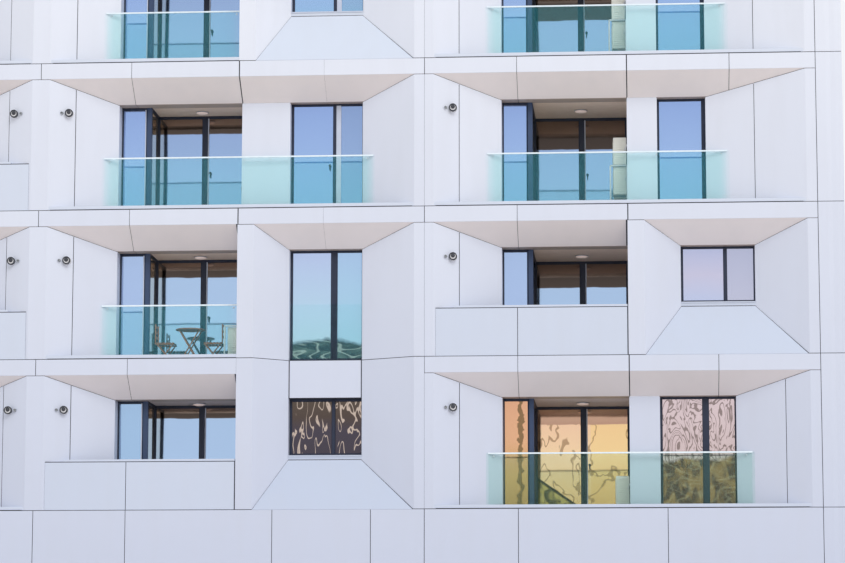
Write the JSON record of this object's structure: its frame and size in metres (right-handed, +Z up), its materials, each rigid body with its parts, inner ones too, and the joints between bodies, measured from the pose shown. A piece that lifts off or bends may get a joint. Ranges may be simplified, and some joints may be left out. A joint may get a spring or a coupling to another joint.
{
  "type": "apartment block",
  "caption": "Apartment block whose white front is folded into splayed recesses with loggias, glass guards, solid parapets and dark-framed windows.",
  "frame": {"origin": "middle of the footprint, at ground level", "axes": "+X along the front to the right as seen from the street, +Y from the street front to the rear, +Z up"},
  "size_m": [33.12, 12.06, 18],
  "materials": {
    "cladding": "smooth matt white panel",
    "parapet_cladding": "smooth matt pale grey panel",
    "concrete": "fair-faced concrete",
    "gravel": "loose pale gravel",
    "ceiling": "matt plaster",
    "window_frame": "satin anthracite powder coat",
    "window_pane": "clear insulating glass",
    "guard_pane": "green tinted laminated glass",
    "trim": "satin folded sheet",
    "bracket": "grey powder coat",
    "housing": "cream powder coat",
    "light": "opal diffuser",
    "flue": "dark moulded plastic",
    "timber": "oiled brown slats"
  },
  "bodies": {
    "root": {"party_walls": "cladding", "slab_bands": "cladding", "front_walls": "cladding", "loggia_side_ribs": "cladding", "window_side_ribs": "cladding", "window_piers": "cladding", "sloped_sills": "cladding", "window_spandrels": "cladding", "head_panels": "cladding", "balcony_kerbs": "cladding", "rear_bands": "cladding", "rear_piers": "cladding", "loggia_parapets": "parapet_cladding", "base_piers": "parapet_cladding", "base_fascia": "parapet_cladding", "roof_parapets": "parapet_cladding", "roof_end_parapets": "parapet_cladding", "loggia_side_walls": "parapet_cladding", "ground_slab": "concrete", "floor_slabs": "concrete", "roof_slab": "concrete", "roof_gravel": "gravel", "loggia_ceilings": "ceiling", "base_window_frames": "window_frame", "entrance_doors": "window_frame", "window_frames": "window_frame", "corner_frames": "window_frame", "return_frames": "window_frame", "loggia_door_frames": "window_frame", "rear_frames": "window_frame", "base_window_glass": "window_pane", "entrance_glass": "window_pane", "window_glass": "window_pane", "corner_glass": "window_pane", "return_glass": "window_pane", "loggia_door_glass": "window_pane", "rear_glass": "window_pane", "guard_glass": "guard_pane", "juliet_glass": "guard_pane", "guard_shoes": "trim", "parapet_copings": "trim", "roof_copings": "trim", "roof_end_copings": "trim", "ac_brackets": "bracket", "air_conditioners": "housing", "ceiling_lights": "light", "flue_terminals": "flue", "vent_pipes": "flue", "balcony_table": "timber", "balcony_chairs": "timber"}
  },
  "joints": []
}
